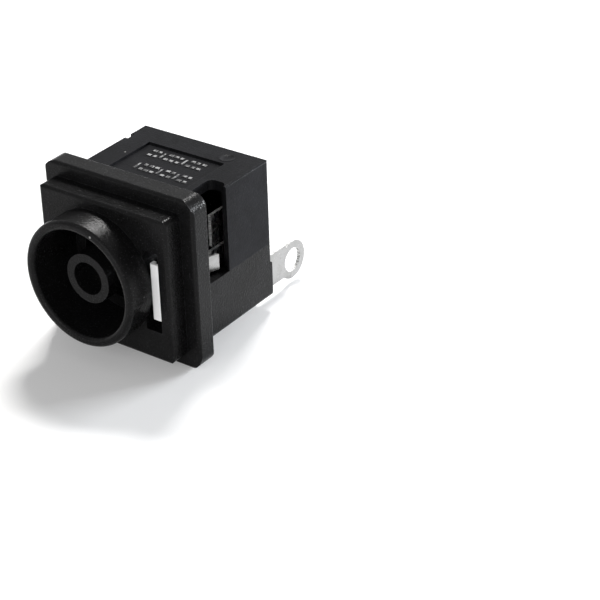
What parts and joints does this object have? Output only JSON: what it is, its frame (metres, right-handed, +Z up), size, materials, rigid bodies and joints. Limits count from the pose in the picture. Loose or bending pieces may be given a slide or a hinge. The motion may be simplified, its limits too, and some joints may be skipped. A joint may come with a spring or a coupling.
{
  "type": "dc barrel jack",
  "caption": "Panel-mount DC power jack with a round mouth around a hollow centre post, a square flange, a boxed rear body and eyelet solder lugs.",
  "frame": {"origin": "on the plug axis, in the plane of the flange's rear face", "axes": "+Z up, the mouth opens towards -Y, the solder lugs leave towards +Y, the spring contact is on the +X side"},
  "size_m": [0.0139, 0.0202, 0.014],
  "materials": {
    "housing_plastic": "fine grain",
    "cover_plastic": "satin",
    "spring_metal": "nickel plated sheet",
    "lug_metal": "nickel plated sheet",
    "socket_metal": "nickel plated, turned"
  },
  "bodies": {
    "root": {"housing": "housing_plastic", "rear_cover": "cover_plastic", "spring_contact": "spring_metal", "centre_contact": "lug_metal", "centre_socket": "socket_metal"}
  },
  "joints": []
}
